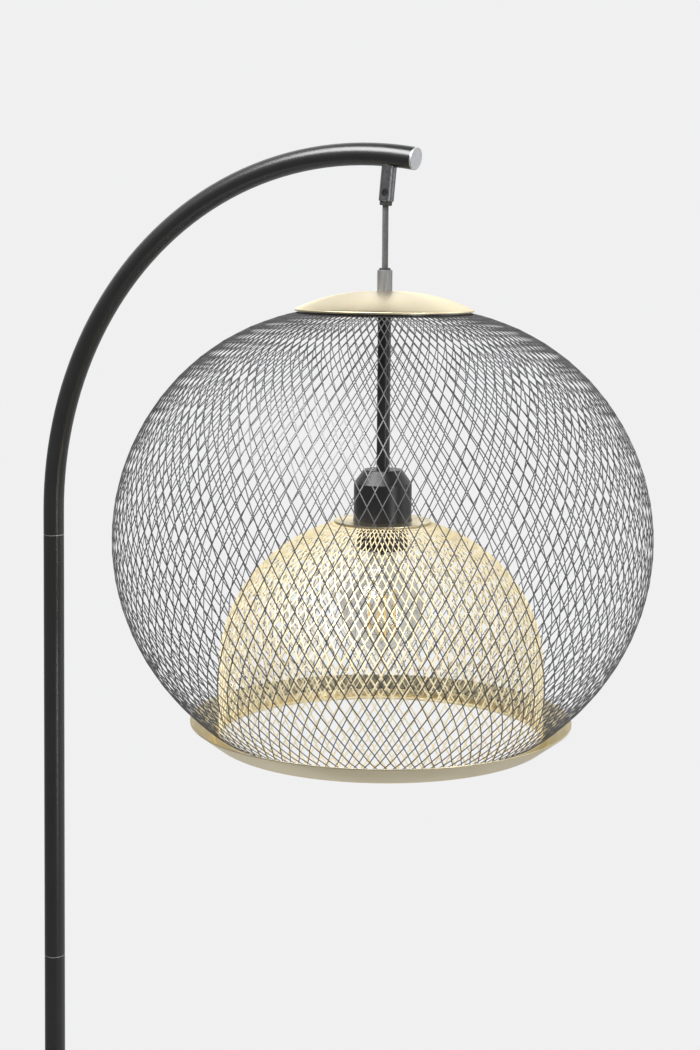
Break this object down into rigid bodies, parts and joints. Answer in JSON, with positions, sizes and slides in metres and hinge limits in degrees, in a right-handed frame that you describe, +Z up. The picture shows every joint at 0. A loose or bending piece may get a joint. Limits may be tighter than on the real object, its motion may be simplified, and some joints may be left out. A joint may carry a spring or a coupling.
{
  "type": "arched floor lamp with a wire cage shade",
  "caption": "Slim arched floor lamp whose round open wire cage shade hangs on a short cord, with a brass mesh bell inside, brass cap and rim, and a clear bulb.",
  "frame": {"origin": "centre of the base's underside, on the pole's axis, where the foot pad meets the floor", "axes": "+Z up the pole, +X from the pole towards the hanging shade, +Y completes the right-handed set"},
  "size_m": [0.717, 0.45, 1.577],
  "materials": {
    "foot_rubber": "matt moulded rubber",
    "cast_weight": "rough cast, primed",
    "black_coat": "satin black powder coat",
    "black_mesh": "satin black coat on wire mesh",
    "end_plate": "turned, bright",
    "grip_metal": "satin grey plated",
    "hardware": "zinc plated",
    "brass": "satin pale brass",
    "brass_mesh": "satin brass wire mesh",
    "contact_brass": "plain brass",
    "dark_plastic": "dark moulded insert",
    "holder_plastic": "black moulded",
    "cord_cover": "dark grey textile braid",
    "lead_cover": "plain cable sheath",
    "bulb_metal": "thread-rolled cap",
    "bulb_black": "dark insulator",
    "clear_glass": "clear blown glass",
    "post_glass": "clear glass post",
    "filament_amber": "glowing amber rods"
  },
  "bodies": {
    "stand": {"foot_pad": "foot_rubber", "base_weight": "cast_weight", "base_cover": "black_coat", "pole_collar": "black_coat", "base_washer": "hardware", "base_bolt": "hardware", "lower_pole": "black_coat", "middle_pole": "black_coat", "upper_pole": "black_coat", "pole_bushes": "hardware", "pole_couplers": "hardware", "cord_grommet": "foot_rubber", "arch_tube": "black_coat", "arch_end_plug": "end_plate", "grip_locknut": "hardware", "grip_nipple": "hardware", "grip_saddle": "grip_metal", "upper_grip": "grip_metal", "upper_insert": "dark_plastic", "grip_set_screw": "hardware", "inner_lead": "lead_cover"},
    "cord_neck": {"cord_bend": "cord_cover"},
    "hanging_cord": {"suspension_cord": "cord_cover"},
    "shade": {"lower_grip": "grip_metal", "lower_insert": "dark_plastic", "top_cap": "brass", "cap_spacer": "hardware", "crown_plate": "black_coat", "upper_nipple": "hardware", "stem_tube": "black_coat", "lower_nipple": "hardware", "cup_nut": "hardware", "cage_mesh": "black_mesh", "mouth_band": "brass", "bell_mesh": "brass_mesh", "bell_hoop": "brass", "bell_disc": "brass", "lampholder_cup": "black_coat", "lampholder_body": "holder_plastic", "lampholder_shell": "contact_brass", "centre_contact": "contact_brass", "terminals": "contact_brass", "ring_nut": "holder_plastic", "shade_lead": "lead_cover"},
    "bulb_foot": {"bulb_insulator": "bulb_black", "bulb_button": "bulb_metal"},
    "bulb": {"bulb_cap": "bulb_metal", "bulb_glass": "clear_glass", "filament_post": "post_glass", "filament_wires": "bulb_metal", "filaments": "filament_amber"}
  },
  "joints": [
    {"name": "shade_swing_side", "type": "hinge", "parent": "stand", "child": "cord_neck", "pos_m": [0.35202, 0, 1.5231], "axis": [0, 1, 0], "range_deg": [-20, 20], "deforming": ["cord_bend"]},
    {"name": "shade_swing_front", "type": "hinge", "parent": "cord_neck", "child": "hanging_cord", "pos_m": [0.35202, 0, 1.5231], "axis": [1, 0, 0], "range_deg": [-20, 20], "deforming": ["cord_bend"]},
    {"name": "shade_twist", "type": "hinge", "parent": "hanging_cord", "child": "shade", "pos_m": [0.35202, 0, 1.4731], "axis": [0, 0, 1], "range_deg": [-90, 90]},
    {"name": "bulb_drop", "type": "slide", "parent": "shade", "child": "bulb_foot", "axis": [0, 0, -1], "range_m": [0, 0.0237]},
    {"name": "bulb_turn", "type": "hinge", "parent": "bulb_foot", "child": "bulb", "pos_m": [0.35202, 0, 1.1878], "axis": [0, 0, -1], "range_deg": [0, 2340]}
  ],
  "couplings": [
    {"joint": "bulb_drop", "follows": "bulb_turn", "m_per_rad": 0.00057757}
  ]
}
